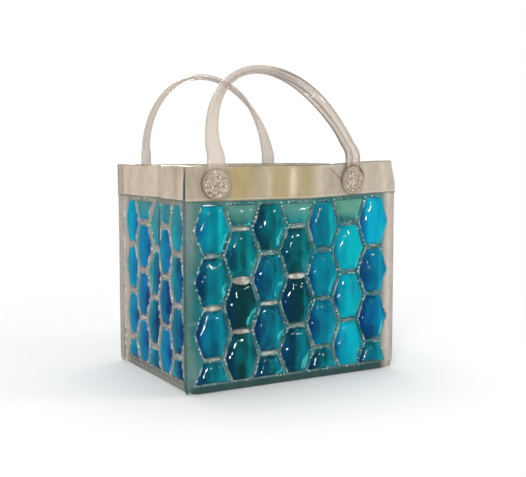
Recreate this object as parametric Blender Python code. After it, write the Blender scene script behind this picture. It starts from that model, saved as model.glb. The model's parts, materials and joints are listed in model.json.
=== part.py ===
# Clear film cooler bag with gel cells in its four walls and two strap handles.
# Metres, +Z up. The origin is the middle of the underside of the base, the front faces -Y.
# A wall is an outer film with formed pockets, the gel that fills them and a flat inner film.

import bpy
import bmesh
from math import asin, cos, pi, radians, sin
from mathutils import Vector

# The bag
BAG_WIDTH = 0.204           # front panel, fin edge to fin edge
BAG_DEPTH = 0.146           # over the flat land of the front and back panels
BAG_HEIGHT = 0.182          # floor to rim
FIN_WIDTH = 0.0045          # corner weld that stands out past each side panel
FILM = 0.0008               # formed outer film
LINER = 0.0006              # flat inner film
SEAT_GAP = 0.0003           # between pieces that touch

# The hem folded over the rim
HEM_HEIGHT = 0.028
HEM_FILM = 0.0008

# The base tray
BASE_FILM = 0.0008
BASE_FLANGE = 0.0065        # turned up inside the walls, where it is welded

# The gel cells: hexagons with flat tops, in columns that step by half a row
FRONT_COLUMNS = 7
SIDE_COLUMNS = 5
FULL_CELLS = 3              # in each column, with half a cell more at one end
EDGE_STRIP = 0.006          # plain film beside the outer columns
SEAM_STRIP = 0.0055         # plain film under the lowest cells
HEM_STRIP = 0.0032          # plain film between the highest cells and the hem
WELD_LAND = 0.003           # welded film between two cells
FLAT_SHARE = 0.364          # half of a cell's flat top, of the column pitch
DOME_HEIGHT = 0.006
SHOULDER_HEIGHT = 0.0043
SHOULDER_SHARE = 0.10       # from the cell's edge in to its shoulder, of half a row
CROWN_SHARE = 0.30          # from the cell's edge in to its flat crown, of half a row
NECK_HEIGHT = 0.0003        # bleed of gel between two cells of a column
NECK_WIDTH = 0.004

# The handles
HANDLE_SPAN = 0.131         # disc centre to disc centre
FRONT_SHIFT = -0.0105       # middle of the front handle, from the middle of the bag
BACK_SHIFT = -0.0075
FRONT_RISE = 0.0895         # hinge line to the middle of the strap at its top
BACK_RISE = 0.081
HINGE_RISE = 0.004          # hinge line over the rim
HINGE_GAP = 0.00035
STRAP_WIDTH = 0.0125
STRAP_THICKNESS = 0.0032
STRAP_CHAMFER = 0.0008
DISC_RADIUS = 0.0125
DISC_THICKNESS = 0.0025
DISC_RIM = 0.0013
DISC_RECESS = 0.0006
FRONT_LEAN = radians(30)    # inwards, over the bag
BACK_LEAN = radians(10)     # outwards, away from the bag
FRONT_TURN = radians(115)   # of the strap about its own length, from its left foot to its top
BACK_TURN = radians(90)
FRONT_TWIST_SHARES = (0.14, 0.44)   # of the arch from each foot, where the strap turns
BACK_TWIST_SHARES = (0.0, 0.20)

ARCH_STEPS = 28
FOOT_STEPS = 3
DISC_STEPS = 22

# Worked out from the sizes above
half_row = (BAG_HEIGHT - HEM_HEIGHT - HEM_STRIP - SEAM_STRIP) / (2 * FULL_CELLS + 1)
layer_gap = NECK_HEIGHT + 2 * SEAT_GAP
wall_inside = layer_gap + LINER
front_face = BAG_DEPTH / 2 - FILM
side_face = BAG_WIDTH / 2 - FIN_WIDTH - FILM
front_half = BAG_WIDTH / 2
front_inside = front_face - wall_inside
side_inside = side_face - wall_inside
side_half = front_inside - SEAT_GAP
panel_top = BAG_HEIGHT - HEM_FILM - SEAT_GAP
hem_outside = FILM + SEAT_GAP + HEM_FILM
hinge_height = BAG_HEIGHT + HINGE_RISE
hinge_out = front_face + hem_outside + SEAT_GAP + DISC_THICKNESS / 2

film_colour = (0.80, 0.84, 0.83, 0.25)
hem_colour = (0.66, 0.56, 0.50, 0.60)
gel_colour = (0.02, 0.36, 0.52, 0.80)
side_gel_colour = (0.02, 0.24, 0.62, 0.80)
strap_colour = (0.72, 0.66, 0.63, 0.45)


def make_material(name, colour, roughness):
    material = bpy.data.materials.new(name)
    material.use_nodes = True
    shader = material.node_tree.nodes["Principled BSDF"]
    shader.inputs["Base Color"].default_value = (*colour[:3], 1)
    shader.inputs["Alpha"].default_value = colour[3]
    shader.inputs["Roughness"].default_value = roughness
    shader.inputs["Metallic"].default_value = 0
    return material


def make_empty(name, location, turn):
    empty = bpy.data.objects.new(name, None)
    empty.empty_display_size = HEM_HEIGHT
    empty.location = location
    empty.rotation_euler = turn
    bpy.context.collection.objects.link(empty)
    return empty


def make_object(name, bm, material, parent):
    bmesh.ops.recalc_face_normals(bm, faces=bm.faces)
    mesh = bpy.data.meshes.new(name)
    bm.to_mesh(mesh)
    bm.free()
    mesh.materials.append(material)
    piece = bpy.data.objects.new(name, mesh)
    piece.parent = parent
    bpy.context.collection.objects.link(piece)
    return piece


def inset(outline, distance):
    # Moves every edge of a convex outline inwards; the outline runs anticlockwise
    moved = []
    for i, here in enumerate(outline):
        arriving = (here - outline[i - 1]).normalized()
        leaving = (outline[(i + 1) % len(outline)] - here).normalized()
        first = Vector((-arriving.y, arriving.x))
        second = Vector((-leaving.y, leaving.x))
        bisector = first + second
        moved.append(here + bisector * (distance / bisector.dot(first)))
    return moved


def cell_outlines(column, columns, half_width):
    # The cells of one column from the bottom up. The column at each end has its half cell
    # at the bottom, the next one has it at the top, and so on
    pitch = 2 * (half_width - EDGE_STRIP) / (columns + 1 - 2 * FLAT_SHARE)
    middle = (column - (columns - 1) / 2) * pitch
    flat = pitch * FLAT_SHARE
    point = pitch - flat
    half_first = column % 2 == 0
    low = SEAM_STRIP
    cells = []
    if half_first:
        cells.append([(-point, low), (point, low), (flat, low + half_row), (-flat, low + half_row)])
        low += half_row
    for _ in range(FULL_CELLS):
        middle_row, high = low + half_row, low + 2 * half_row
        cells.append([(-flat, low), (flat, low), (point, middle_row),
                      (flat, high), (-flat, high), (-point, middle_row)])
        low = high
    if not half_first:
        cells.append([(-flat, low), (flat, low), (point, low + half_row), (-point, low + half_row)])
    outlines = [[Vector((middle + u, v)) for u, v in cell] for cell in cells]
    return [inset(outline, WELD_LAND / 2) for outline in outlines]


def add_ring(bm, outline, height):
    return [bm.verts.new((point.x, point.y, height)) for point in outline]


def join_rings(bm, lower, upper):
    for i in range(len(lower)):
        j = (i + 1) % len(lower)
        bm.faces.new((lower[i], lower[j], upper[j], upper[i]))


def add_dome(bm, outline, shrink, base):
    # The shoulder and the crown over a cell's edge; returns the shoulder's ring
    shoulder = add_ring(bm, inset(outline, shrink + SHOULDER_SHARE * half_row), base + SHOULDER_HEIGHT)
    crown = add_ring(bm, inset(outline, shrink + CROWN_SHARE * half_row), base + DOME_HEIGHT)
    join_rings(bm, shoulder, crown)
    bm.faces.new(crown)
    return shoulder


def add_skin(bm, half_width, cells, shrink, base):
    # One face of the formed film: a flat sheet with a dome in each cell
    corners = add_ring(bm, [Vector((-half_width, 0)), Vector((half_width, 0)),
                            Vector((half_width, panel_top)), Vector((-half_width, panel_top))], base)
    rings = [add_ring(bm, inset(cell, shrink), base) for cell in cells]
    edges = []
    for ring in [corners] + rings:
        for i in range(len(ring)):
            edges.append(bm.edges.new((ring[i - 1], ring[i])))
    bmesh.ops.triangle_fill(bm, edges=edges, use_beauty=True)
    for cell, ring in zip(cells, rings):
        join_rings(bm, ring, add_dome(bm, cell, shrink, base))
    return corners


def make_outer_film(name, columns, half_width, flange, material, parent):
    # The formed film. A side panel's film has a flange along each upright edge, turned
    # outwards against the front and back panels, and the corner fins are welded there
    cells = [cell for column in range(columns) for cell in cell_outlines(column, columns, half_width)]
    bm = bmesh.new()
    inner = add_skin(bm, half_width, cells, FILM, 0)
    outer = add_skin(bm, half_width - (FILM if flange else 0), cells, 0, FILM)
    uprights = []
    for side, low, high in ((-1, 0, 3), (1, 1, 2)):
        rails = [(inner[low], inner[high])]
        if flange:
            for across in (half_width, half_width - FILM):
                foot = bm.verts.new((side * across, 0, FILM + flange))
                head = bm.verts.new((side * across, panel_top, FILM + flange))
                rails.append((foot, head))
        rails.append((outer[low], outer[high]))
        for before, after in zip(rails, rails[1:]):
            bm.faces.new((before[0], after[0], after[1], before[1]))
        uprights.append(rails)
    for end in (0, 1):
        left = [rail[end] for rail in uprights[0]]
        right = [rail[end] for rail in uprights[1]]
        bm.faces.new(left[::-1] + right)
    return make_object(name, bm, material, parent)


def make_block(bm, low, high):
    made = bmesh.ops.create_cube(bm, size=1)
    low, high = Vector(low), Vector(high)
    bmesh.ops.scale(bm, vec=high - low, verts=made["verts"])
    bmesh.ops.translate(bm, vec=(low + high) / 2, verts=made["verts"])


def make_inner_film(name, half_width, material, parent):
    bm = bmesh.new()
    make_block(bm, (-half_width, 0, -wall_inside), (half_width, panel_top, -layer_gap))
    return make_object(name, bm, material, parent)


def make_gel_column(name, cells, material, parent):
    # The gel of one column of pockets. Each cell swells into its dome, and a thin neck
    # through the weld joins it to the next cell up
    bm = bmesh.new()
    shrink = FILM + SEAT_GAP
    floor = SEAT_GAP - layer_gap
    deck = -SEAT_GAP
    head_below = None
    for number, cell in enumerate(cells):
        outline = inset(cell, shrink)
        middle = (outline[0].x + outline[1].x) / 2
        top = len(outline) // 2
        lower, upper, necks = [], [], {}
        for i, point in enumerate(outline):
            lower.append(bm.verts.new((point.x, point.y, floor)))
            upper.append(bm.verts.new((point.x, point.y, deck)))
            side = {0: -1, top: 1}.get(i)
            if (i == 0 and number > 0) or (i == top and number < len(cells) - 1):
                pair = []
                for across in (side * NECK_WIDTH / 2, -side * NECK_WIDTH / 2):
                    lower.append(bm.verts.new((middle + across, point.y, floor)))
                    upper.append(bm.verts.new((middle + across, point.y, deck)))
                    pair.append(len(lower) - 1)
                necks[i] = pair
        bm.faces.new(lower)
        openings = [pair[0] for pair in necks.values()]
        for i in range(len(lower)):
            if i not in openings:
                j = (i + 1) % len(lower)
                bm.faces.new((lower[i], lower[j], upper[j], upper[i]))
        shoulder = add_dome(bm, cell, shrink, deck)
        at = 0
        for i in range(len(outline)):
            length = 3 if i in necks else 1
            edge = [upper[(at + k) % len(upper)] for k in range(length + 1)]
            bm.faces.new(edge + [shoulder[(i + 1) % len(outline)], shoulder[i]])
            at += length
        if number > 0:
            left, right = necks[0]
            below_right, below_left = head_below
            foot = [(lower[left], upper[left]), (lower[right], upper[right])]
            bm.faces.new((below_left[0], below_right[0], foot[1][0], foot[0][0]))
            bm.faces.new((below_left[1], below_right[1], foot[1][1], foot[0][1]))
            bm.faces.new((below_left[0], below_left[1], foot[0][1], foot[0][0]))
            bm.faces.new((below_right[0], below_right[1], foot[1][1], foot[1][0]))
        if top in necks:
            head_below = [(lower[i], upper[i]) for i in necks[top]]
    return make_object(name, bm, material, parent)


def make_hem(name, outer_half, inner_half, material, parent):
    # Film folded over the rim: an outer leg, a top and an inner leg. The inner leg of the
    # front and back hems is shorter, because it ends inside the side panels
    outside, inside = hem_outside, -(wall_inside + SEAT_GAP + HEM_FILM)
    low, under = BAG_HEIGHT - HEM_HEIGHT, BAG_HEIGHT - HEM_FILM
    outer_leg = [(outside, low), (outside, BAG_HEIGHT), (inside, BAG_HEIGHT), (inside, under),
                 (inside + HEM_FILM, under), (outside - HEM_FILM, under), (outside - HEM_FILM, low)]
    inner_leg = [(inside, low), (inside + HEM_FILM, low)]
    bm = bmesh.new()
    angle = [bm.verts.new((-inner_half, v, w)) for w, v in outer_leg]
    leg = [bm.verts.new((-inner_half, v, w)) for w, v in inner_leg]
    faces = [bm.faces.new(angle), bm.faces.new((angle[3], leg[0], leg[1], angle[4]))]
    grown = bmesh.ops.extrude_face_region(bm, geom=faces, use_keep_orig=True)
    far = [item for item in grown["geom"] if isinstance(item, bmesh.types.BMVert)]
    bmesh.ops.translate(bm, vec=(2 * inner_half, 0, 0), verts=far)
    if outer_half > inner_half:
        ends = [face for face in bm.faces if len(face.verts) == len(outer_leg)]
        for end in ends:
            side = 1 if end.calc_center_median().x > 0 else -1
            grown = bmesh.ops.extrude_face_region(bm, geom=[end])
            moved = [item for item in grown["geom"] if isinstance(item, bmesh.types.BMVert)]
            bmesh.ops.translate(bm, vec=(side * (outer_half - inner_half), 0, 0), verts=moved)
        bmesh.ops.delete(bm, geom=ends, context="FACES_ONLY")
    return make_object(name, bm, material, parent)


def make_base(name, material):
    # A shallow tray: the sheet that the bottles stand on, its edge turned up inside the walls
    half_x, half_y = side_inside - SEAT_GAP, front_inside - SEAT_GAP
    bm = bmesh.new()
    make_block(bm, (-half_x, -half_y, 0), (half_x, half_y, BASE_FILM))
    bm.faces.ensure_lookup_table()
    floor = max(bm.faces, key=lambda face: face.calc_center_median().z)
    rim = bmesh.ops.inset_region(bm, faces=[floor], thickness=BASE_FILM)["faces"]
    grown = bmesh.ops.extrude_face_region(bm, geom=rim)
    raised = [item for item in grown["geom"] if isinstance(item, bmesh.types.BMVert)]
    bmesh.ops.translate(bm, vec=(0, 0, BASE_FLANGE - BASE_FILM), verts=raised)
    bmesh.ops.delete(bm, geom=rim, context="FACES_ONLY")
    return make_object(name, bm, material, None)


def make_disc(name, across, material, parent):
    # A round pad welded to the hem, with a raised rim and a tab up to the hinge line
    tab_top = hinge_height - STRAP_THICKNESS / 2 - HINGE_GAP
    centre = BAG_HEIGHT - HEM_HEIGHT / 2
    start = pi / 2 + asin(STRAP_WIDTH / 2 / DISC_RADIUS)
    sweep = 3 * pi - 2 * start
    outline = []
    for i in range(DISC_STEPS + 1):
        angle = start + sweep * i / DISC_STEPS
        outline.append((across + DISC_RADIUS * cos(angle), centre + DISC_RADIUS * sin(angle)))
    outline += [(across + STRAP_WIDTH / 2, tab_top), (across - STRAP_WIDTH / 2, tab_top)]
    bm = bmesh.new()
    back = bm.faces.new([bm.verts.new((u, v, hem_outside + SEAT_GAP)) for u, v in outline])
    grown = bmesh.ops.extrude_face_region(bm, geom=[back], use_keep_orig=True)
    raised = [item for item in grown["geom"] if isinstance(item, bmesh.types.BMVert)]
    bmesh.ops.translate(bm, vec=(0, 0, DISC_THICKNESS), verts=raised)
    bmesh.ops.recalc_face_normals(bm, faces=bm.faces)
    face = max(bm.faces, key=lambda item: item.calc_center_median().z)
    bmesh.ops.inset_region(bm, faces=[face], thickness=DISC_RIM)
    bmesh.ops.translate(bm, vec=(0, 0, -DISC_RECESS), verts=face.verts)
    return make_object(name, bm, material, parent)


def strap_section(thickness):
    # Half sizes of the strap with its corners taken off, anticlockwise
    wide, thick = STRAP_WIDTH / 2, thickness / 2
    cut = min(STRAP_CHAMFER, thick / 2)
    return [(wide, -thick + cut), (wide, thick - cut), (wide - cut, thick), (-wide + cut, thick),
            (-wide, thick - cut), (-wide, -thick + cut), (-wide + cut, -thick), (wide - cut, -thick)]


def smooth(value):
    value = min(max(value, 0), 1)
    return value * value * (3 - 2 * value)


def make_strap(name, material, location, lean, rise, top_turn, twist_shares):
    # A flat strap bent into half an ellipse. It leaves both discs flat against the hem and
    # turns about its own length on each side, so that it lies flat in the hand at the top.
    # Its feet are round about the hinge line, which is the object's X axis
    stations = []
    for i in range(FOOT_STEPS):
        angle = pi / 2 * (i + 1) / (FOOT_STEPS + 1)
        stations.append((0, -STRAP_THICKNESS / 2 * cos(angle), STRAP_THICKNESS * sin(angle)))
    for i in range(ARCH_STEPS + 1):
        stations.append((i / ARCH_STEPS, 0, STRAP_THICKNESS))
    stations += [(1, below, thickness) for _, below, thickness in stations[:FOOT_STEPS][::-1]]
    bm = bmesh.new()
    rings = []
    for share, below, thickness in stations:
        angle = pi * share
        middle = Vector((-HANDLE_SPAN / 2 * cos(angle), 0, rise * sin(angle) + below))
        along = Vector((HANDLE_SPAN / 2 * sin(angle), 0, rise * cos(angle))).normalized()
        inwards = Vector((along.z, 0, -along.x))
        first, last = twist_shares
        turned = smooth((min(share, 1 - share) - first) / (last - first))
        turn = top_turn * turned if share <= 0.5 else pi - (pi - top_turn) * turned
        wide = inwards * cos(turn) + Vector((0, 1, 0)) * sin(turn)
        thick = along.cross(wide)
        rings.append([bm.verts.new(middle + wide * a + thick * b) for a, b in strap_section(thickness)])
    for before, after in zip(rings, rings[1:]):
        join_rings(bm, before, after)
    bm.faces.new(rings[0])
    bm.faces.new(rings[-1])
    strap = make_object(name, bm, material, None)
    strap.location = location
    strap.rotation_euler = (lean, 0, 0)
    strap.data.shade_smooth()
    strap.data.set_sharp_from_angle(angle=radians(40))
    return strap


def main():
    for item in list(bpy.data.objects):
        bpy.data.objects.remove(item, do_unlink=True)

    film = make_material("clear_film", film_colour, 0.12)
    hem_film = make_material("milky_film", hem_colour, 0.30)
    gel = make_material("teal_gel", gel_colour, 0.08)
    side_gel = make_material("blue_gel", side_gel_colour, 0.08)
    strap = make_material("clear_strap", strap_colour, 0.15)

    walls = (("front", FRONT_COLUMNS, front_half, 0, gel, (0, -front_face, 0), 0),
             ("back", FRONT_COLUMNS, front_half, 0, gel, (0, front_face, 0), 180),
             ("left", SIDE_COLUMNS, side_half, FIN_WIDTH, side_gel, (-side_face, 0, 0), -90),
             ("right", SIDE_COLUMNS, side_half, FIN_WIDTH, side_gel, (side_face, 0, 0), 90))
    for side, columns, half_width, flange, filling, location, turn in walls:
        wall = make_empty(side + "_wall", location, (radians(90), 0, radians(turn)))
        make_outer_film(side + "_outer_film", columns, half_width, flange, film, wall)
        make_inner_film(side + "_inner_film", half_width, film, wall)
        for column in range(columns):
            name = side + "_gel_column_" + str(column + 1)
            make_gel_column(name, cell_outlines(column, columns, half_width), filling, wall)
        if flange:
            half = front_inside - SEAT_GAP - HEM_FILM - SEAT_GAP
            make_hem(side + "_hem", half, half, hem_film, wall)
        else:
            make_hem(side + "_hem", front_half, side_inside - SEAT_GAP, hem_film, wall)
            shift = FRONT_SHIFT if side == "front" else -BACK_SHIFT
            for end, across in (("left", -HANDLE_SPAN / 2), ("right", HANDLE_SPAN / 2)):
                make_disc(side + "_" + end + "_handle_disc", shift + across, strap, wall)

    make_base("base_panel", film)
    make_strap("front_handle_strap", strap, (FRONT_SHIFT, -hinge_out, hinge_height), -FRONT_LEAN,
               FRONT_RISE, FRONT_TURN, FRONT_TWIST_SHARES)
    make_strap("back_handle_strap", strap, (BACK_SHIFT, hinge_out, hinge_height), -BACK_LEAN,
               BACK_RISE, BACK_TURN, BACK_TWIST_SHARES)


main()
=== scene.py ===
# The clear cooler bag: gel cells welded between films, a milky hem and two strap handles
import bpy
import bmesh
import json
import math
import numpy as np
from mathutils import Matrix, Vector


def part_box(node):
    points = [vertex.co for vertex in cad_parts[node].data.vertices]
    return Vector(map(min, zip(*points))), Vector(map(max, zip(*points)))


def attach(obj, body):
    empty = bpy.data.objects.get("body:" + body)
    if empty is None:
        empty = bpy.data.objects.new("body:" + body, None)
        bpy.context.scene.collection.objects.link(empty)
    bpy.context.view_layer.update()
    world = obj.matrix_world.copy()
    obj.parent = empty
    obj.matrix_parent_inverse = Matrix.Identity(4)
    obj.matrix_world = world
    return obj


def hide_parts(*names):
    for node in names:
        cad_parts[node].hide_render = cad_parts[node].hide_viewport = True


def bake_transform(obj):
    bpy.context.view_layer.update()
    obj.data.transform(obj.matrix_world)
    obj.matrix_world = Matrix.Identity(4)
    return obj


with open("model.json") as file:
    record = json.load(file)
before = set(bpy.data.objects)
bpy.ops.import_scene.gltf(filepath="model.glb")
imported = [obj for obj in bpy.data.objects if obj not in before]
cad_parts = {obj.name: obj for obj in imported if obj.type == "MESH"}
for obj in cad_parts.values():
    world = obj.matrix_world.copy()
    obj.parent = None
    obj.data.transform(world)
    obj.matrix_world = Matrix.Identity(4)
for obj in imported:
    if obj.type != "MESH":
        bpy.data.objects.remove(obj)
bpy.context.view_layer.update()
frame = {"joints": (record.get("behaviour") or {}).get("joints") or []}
scene = bpy.context.scene

# Levels taken from the frame, so that every piece meets the same edges
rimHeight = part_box("front_hem")[1].z
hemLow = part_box("front_hem")[0].z
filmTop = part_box("front_outer_film")[1].z
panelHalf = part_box("front_outer_film")[1].x
frontFace = -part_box("front_outer_film")[1].y      # inner skin of the front film, from the middle
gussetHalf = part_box("left_inner_film")[1].y
gussetFace = -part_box("left_outer_film")[1].x
hingeHeight = frame["joints"][0]["pos_m"][2]
wideWalls = ("front", "back")                     # the panels; the two narrow walls are the gussets


# Small helpers

def clearSelection():
    if bpy.context.object and bpy.context.object.mode != "OBJECT":
        bpy.ops.object.mode_set(mode="OBJECT")
    bpy.ops.object.select_all(action="DESELECT")


def makeActive(*pieces):
    clearSelection()
    for piece in pieces:
        piece.select_set(True)
    bpy.context.view_layer.objects.active = pieces[0]


def startEditing(piece):
    # Into edit mode, with everything selected
    makeActive(piece)
    bpy.ops.object.mode_set(mode="EDIT")
    bpy.ops.mesh.select_all(action="SELECT")


def stopEditing(inside=False):
    # Turns all the faces the same way, and leaves edit mode
    bpy.ops.mesh.select_all(action="SELECT")
    bpy.ops.mesh.normals_make_consistent(inside=inside)
    bpy.ops.object.mode_set(mode="OBJECT")


def newest(name):
    piece = bpy.context.object
    piece.name = name
    piece.data.name = name
    return piece


def applyPlace(piece):
    makeActive(piece)
    bpy.ops.object.transform_apply(location=True, rotation=True, scale=True)


def applyModifiers(piece):
    makeActive(piece)
    for modifier in list(piece.modifiers):
        bpy.ops.object.modifier_apply(modifier=modifier.name)


def duplicate(piece, name):
    twin = piece.copy()
    twin.data = piece.data.copy()
    twin.name = name
    twin.data.name = name
    bpy.context.collection.objects.link(twin)
    return twin


def readPoints(mesh):
    points = np.empty(len(mesh.vertices) * 3)
    mesh.vertices.foreach_get("co", points)
    return points.reshape(-1, 3)


def writePoints(mesh, points):
    mesh.vertices.foreach_set("co", np.ascontiguousarray(points, dtype=np.float32).ravel())
    mesh.update()


def writeAttribute(mesh, name, values):
    kind, field = ("FLOAT", "value") if values.ndim == 1 else ("FLOAT_VECTOR", "vector")
    made = mesh.attributes.new(name, kind, "POINT")
    made.data.foreach_set(field, values.astype(np.float32).ravel())


def smoothStep(value, low, high):
    share = np.clip((value - low) / (high - low), 0, 1)
    return share * share * (3 - 2 * share)


def past(value, line, ends):
    # Eases from 0 to 1 between two places, each given from the line
    return smoothStep(value, line + ends[0], line + ends[1])


def hump(value, middle, width):
    return np.exp(-((value - middle) / width) ** 2)


def pickFaces(piece, test):
    # In edit mode: selects the faces that pass the test, and returns them
    bpy.ops.mesh.select_mode(type="FACE")
    bpy.ops.mesh.select_all(action="DESELECT")
    bm = bmesh.from_edit_mesh(piece.data)
    picked = [face for face in bm.faces if test(face)]
    for face in picked:
        face.select_set(True)
    bmesh.update_edit_mesh(piece.data)
    return picked


def extrudeEdges(bm, edges):
    # Extrudes the edges in place, and returns the new vertices
    grown = bmesh.ops.extrude_edge_only(bm, edges=edges)["geom"]
    return [item for item in grown if isinstance(item, bmesh.types.BMVert)]


def subdivide(piece, levels):
    modifier = piece.modifiers.new("Smooth", "SUBSURF")
    modifier.levels = levels
    modifier.render_levels = levels
    applyModifiers(piece)


def thicken(piece, thickness, offset=-1):
    modifier = piece.modifiers.new("Wall", "SOLIDIFY")
    modifier.thickness = thickness
    modifier.offset = offset
    modifier.use_even_offset = False
    applyModifiers(piece)


def finishPiece(piece, material, slot, *nodes):
    piece.data.materials.clear()
    piece.data.materials.append(material)
    makeActive(piece)
    bpy.ops.object.shade_smooth_by_angle(angle=math.radians(50))
    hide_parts(*nodes)
    clearSelection()


# How the soft bag stands: what a packed and handled bag does to every piece of its walls
slump = {
    # the front right corner of the rim is raised and drawn in: how far, and where that starts in z and x
    "lift": 0.0036, "liftStart": (0.118, 0.0), "tuck": 0.0042, "tuckStart": (0.160, 0.066),
    # the left gusset folds inwards, the right one less: how far at the rim, and the fold's place and size
    "fold": 0.0065, "farFold": 0.0035, "foldMiddle": 0.002, "foldWidth": 0.0125, "foldRise": (0.035, 0.150),
    "rimWave": 0.0008, "waveStart": 0.02,
    "discBulge": 0.30, "discReach": 0.016,             # slope of the hem under the right hand front disc
    "pucker": 0.00040, "puckerTop": (-0.006, -0.002),  # small uneven dents, and where they end under the hem
    # out from a wall's inner skin: where it begins to be moved, and where it is moved in full
    "puckerDepth": (0.0008, 0.0035), "panelDepth": (-0.006, -0.002), "gussetDepth": (-0.012, -0.004),
}
frontRightDisc = (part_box("front_right_handle_disc")[0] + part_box("front_right_handle_disc")[1]) / 2


def crossed(across, z, sizes, sways):
    # Waves both ways, each swaying along the other
    return (np.sin(across / sizes[0] + sways[0][0] * np.sin(z / sways[0][1]))
            * np.sin(z / sizes[1] + sways[1][0] * np.sin(across / sways[1][1])))


def puckered(across, z):
    coarse = crossed(across, z, (0.0023, 0.0031), ((1.7, 0.0049), (1.9, 0.0057)))
    slanting = np.sin(across / 0.0047 + z / 0.0080 + 2.1 * np.sin(z / 0.0130))
    fine = crossed(across, z, (0.00105, 0.00125), ((2.3, 0.0034), (2.0, 0.0031)))
    underHem = 1 - past(z, hemLow, slump["puckerTop"])
    return slump["pucker"] * (0.6 * coarse + 0.9 * slanting + 0.28 * fine) * underHem


def slumped(points):
    x, y, z = points.T
    front = smoothStep(-y, -0.02, frontFace)
    lift, tuck = (smoothStep(z, slump[start][0], top) * smoothStep(x, slump[start][1], panelHalf) * front
                  for start, top in (("liftStart", hemLow), ("tuckStart", rimHeight)))
    fold = smoothStep(z, *slump["foldRise"]) * hump(y, slump["foldMiddle"], slump["foldWidth"])
    leftWall, rightWall = (past(side, gussetFace, slump["gussetDepth"]) for side in (-x, x))
    panels = past(np.abs(y), frontFace, slump["panelDepth"])
    soft = smoothStep(z, slump["waveStart"], rimHeight)
    wave = np.sin(x / 0.0105 + 0.7) + 0.6 * np.sin(x / 0.0043 + z / 0.03)
    sideWave = np.sin(y / 0.0095 + 2.0) + 0.5 * np.sin(y / 0.004 + z / 0.02)
    gap = np.hypot(x - frontRightDisc.x, z - frontRightDisc.z) / slump["discReach"]
    bulge = (x - frontRightDisc.x) * slump["discBulge"] * np.exp(-gap * gap) * panels * (y < 0)
    onPanel = past(np.abs(y), frontFace, slump["puckerDepth"])
    onGusset = past(np.abs(x), gussetFace, slump["puckerDepth"]) * (np.abs(y) < frontFace - 0.004)
    moved = points.copy()
    moved[:, 0] += -slump["tuck"] * tuck
    moved[:, 0] += slump["fold"] * fold * leftWall - slump["farFold"] * fold * rightWall
    moved[:, 0] += slump["rimWave"] * 0.6 * sideWave * soft * (rightWall - leftWall) * (1 - panels)
    moved[:, 0] += 0.5 * puckered(y, z) * onGusset * np.sign(x)
    moved[:, 1] += slump["rimWave"] * wave * soft * panels * np.sign(y) * (1 - 0.6 * lift)
    moved[:, 1] += bulge
    moved[:, 1] += puckered(x, z) * onPanel * np.sign(y)
    moved[:, 2] += slump["lift"] * lift
    return moved


def letSlump(piece):
    writePoints(piece.data, slumped(readPoints(piece.data)))


# Each wall is modelled lying flat, x along it and y up it with z outwards, then stood in its place
panel = {"columns": 7, "half": panelHalf, "flange": 0, "weld": 0.0010, "bulge": 1.0}
gusset = {"columns": 5, "half": gussetHalf, "flange": panelHalf - gussetFace, "weld": 0.0017, "bulge": 0.55}
walls = {
    "front": {**panel, "face": (0, -frontFace, 0), "turn": 0},
    "back": {**panel, "face": (0, frontFace, 0), "turn": 180},
    "left": {**gusset, "face": (-gussetFace, 0, 0), "turn": -90},
    "right": {**gusset, "face": (gussetFace, 0, 0), "turn": 90},
}


def standUp(piece, wall):
    form = walls[wall]
    place = Matrix.Translation(form["face"]) @ Matrix.Rotation(math.radians(form["turn"]), 4, "Z")
    piece.data.transform(place @ Matrix.Rotation(math.radians(90), 4, "X"))
    letSlump(piece)


# Nodes: a source is a number, a colour or another node's output

def feed(socket, source):
    if isinstance(source, bpy.types.NodeSocket):
        socket.id_data.links.new(source, socket)
    else:
        socket.default_value = (*source, 1) if isinstance(source, tuple) else source


def newFinish(name, roughness):
    material = bpy.data.materials.new(name)
    material.use_nodes = True
    shader = material.node_tree.nodes["Principled BSDF"]
    shader.inputs["Roughness"].default_value = roughness
    return material, material.node_tree, shader


def objectPlace(tree):
    return tree.nodes.new("ShaderNodeTexCoord").outputs["Object"]


def objectPattern(tree, size, detail=2.0, stretch=(1, 1, 1)):
    mapping = tree.nodes.new("ShaderNodeMapping")
    mapping.inputs["Scale"].default_value = stretch
    noise = tree.nodes.new("ShaderNodeTexNoise")
    noise.inputs["Scale"].default_value = 1 / size
    noise.inputs["Detail"].default_value = detail
    feed(mapping.inputs["Vector"], objectPlace(tree))
    feed(noise.inputs["Vector"], mapping.outputs["Vector"])
    return noise.outputs["Fac"]


def readMark(tree, name, output="Fac"):
    mark = tree.nodes.new("ShaderNodeAttribute")
    mark.attribute_name = name
    return mark.outputs[output]


def splitVector(source):
    parts = source.id_data.nodes.new("ShaderNodeSeparateXYZ")
    feed(parts.inputs[0], source)
    return [parts.outputs[axis] for axis in "XYZ"]


def spread(source, low, high, newLow=0.0, newHigh=1.0):
    # Eases from one value at low to another at high
    ranged = source.id_data.nodes.new("ShaderNodeMapRange")
    ranged.interpolation_type = "SMOOTHSTEP"
    for name, value in (("Value", source), ("From Min", low), ("From Max", high), ("To Min", newLow),
                        ("To Max", newHigh)):
        feed(ranged.inputs[name], value)
    return ranged.outputs["Result"]


def combine(kind, first, second=0.0):
    tree = next(source.id_data for source in (first, second) if isinstance(source, bpy.types.NodeSocket))
    maths = tree.nodes.new("ShaderNodeMath")
    maths.operation = kind
    feed(maths.inputs[0], first)
    feed(maths.inputs[1], second)
    return maths.outputs[0]


def add(first, second):
    return combine("ADD", first, second)


def times(first, second):
    return combine("MULTIPLY", first, second)


def larger(first, second):
    return combine("MAXIMUM", first, second)


def unsigned(source):
    return combine("ABSOLUTE", source)


def blend(kind, share, first, second):
    mix = share.id_data.nodes.new("ShaderNodeMix")
    mix.data_type = kind
    for name, source in (("Factor", share), ("A", first), ("B", second)):
        feed(mix.inputs[name], source)
    return mix.outputs["Result"]


def blendColours(share, first, second):
    return blend("RGBA", share, first, second)


def blendNumbers(share, first, second):
    return blend("FLOAT", share, first, second)


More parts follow.
